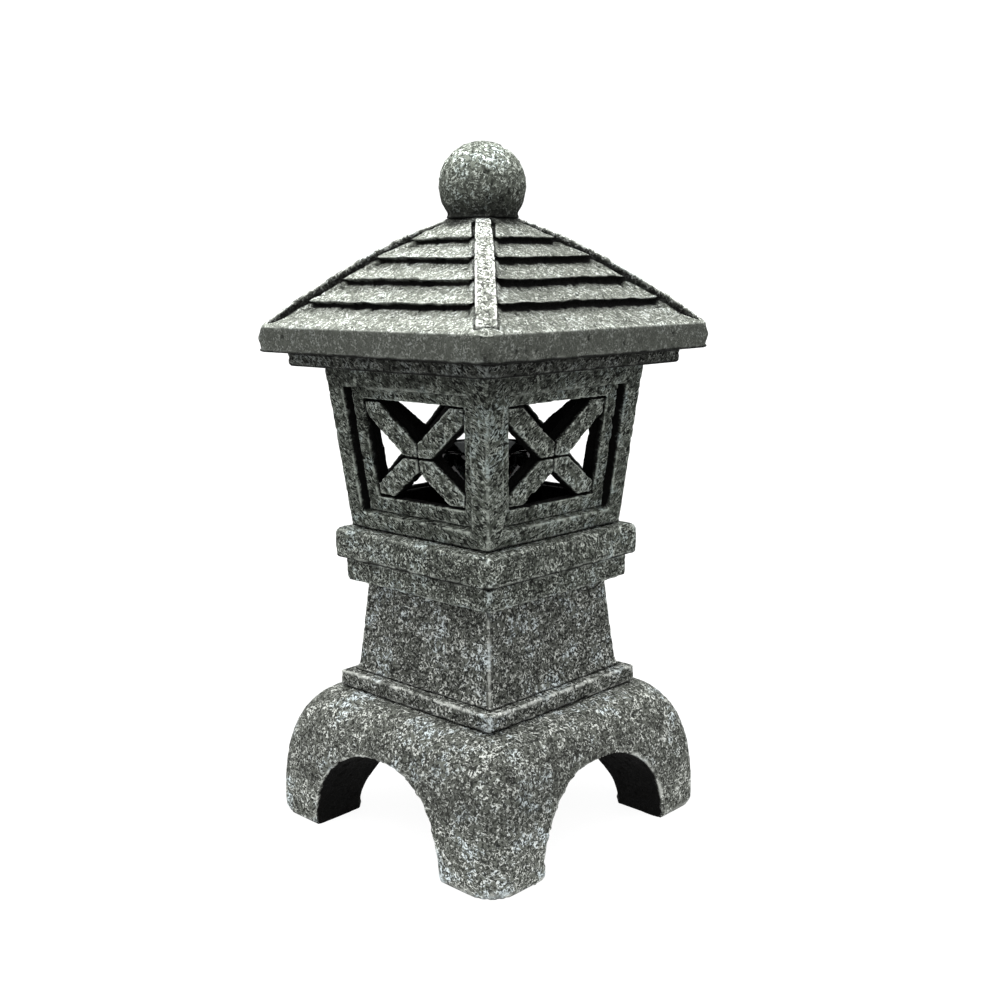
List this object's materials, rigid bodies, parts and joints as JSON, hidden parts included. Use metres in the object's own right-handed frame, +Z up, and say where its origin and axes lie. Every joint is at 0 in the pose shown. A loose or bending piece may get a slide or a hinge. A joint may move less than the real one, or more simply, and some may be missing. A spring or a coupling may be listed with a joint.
{
  "type": "stone garden lantern",
  "caption": "Small pagoda-shaped stone garden lantern: arched base, tapered post, latticed light box, lift-off stepped roof with a ball, and a glass cup with a tea light inside.",
  "frame": {"origin": "on the ground, under the middle of the lantern", "axes": "+Z up along the lantern's axis, front window faces -Y, right window faces +X"},
  "size_m": [0.1328, 0.1328, 0.2786],
  "materials": {
    "grey_stone": "rough cast stone, pale speckle rubbed over dark pits",
    "dark_stone": "rough cast stone with slanting tool marks, soot black inside",
    "pale_stone": "rough cast stone, weathered pale on its upper faces",
    "smoked_glass": "dark smoked pressed glass",
    "aluminium_case": "thin drawn sheet",
    "candle_wax": "white candle wax",
    "cotton_wick": "waxed cotton, charred at the tip"
  },
  "bodies": {
    "stand": {"base": "grey_stone", "plinth": "grey_stone", "post": "grey_stone", "lower_platform": "grey_stone"},
    "fire_box": {"upper_platform": "grey_stone", "light_box": "dark_stone", "window_frame_front": "dark_stone", "window_frame_right": "dark_stone", "window_frame_back": "dark_stone", "window_frame_left": "dark_stone", "lattice_bar_front_top_left": "dark_stone", "lattice_bar_front_top_right": "dark_stone", "lattice_bar_front_bottom_left": "dark_stone", "lattice_bar_front_bottom_right": "dark_stone", "lattice_bar_right_top_left": "dark_stone", "lattice_bar_right_top_right": "dark_stone", "lattice_bar_right_bottom_left": "dark_stone", "lattice_bar_right_bottom_right": "dark_stone", "lattice_bar_back_top_left": "dark_stone", "lattice_bar_back_top_right": "dark_stone", "lattice_bar_back_bottom_left": "dark_stone", "lattice_bar_back_bottom_right": "dark_stone", "lattice_bar_left_top_left": "dark_stone", "lattice_bar_left_top_right": "dark_stone", "lattice_bar_left_bottom_left": "dark_stone", "lattice_bar_left_bottom_right": "dark_stone"},
    "roof_stones": {"cornice": "dark_stone", "roof": "pale_stone", "hip_rib_front_right": "pale_stone", "hip_rib_back_right": "pale_stone", "hip_rib_back_left": "pale_stone", "hip_rib_front_left": "pale_stone", "finial": "grey_stone"},
    "tea_light": {"candle_cup": "smoked_glass", "tealight_case": "aluminium_case", "wax": "candle_wax", "wick": "cotton_wick"}
  },
  "joints": [
    {"name": "fire_box_lift", "type": "slide", "parent": "stand", "child": "fire_box", "axis": [0, 0, 1], "range_m": [0, 0.1]},
    {"name": "roof_lift", "type": "slide", "parent": "fire_box", "child": "roof_stones", "axis": [0, 0, 1], "range_m": [0, 0.1]},
    {"name": "tea_light_lift", "type": "slide", "parent": "fire_box", "child": "tea_light", "axis": [0, 0, 1], "range_m": [0, 0.035]}
  ]
}
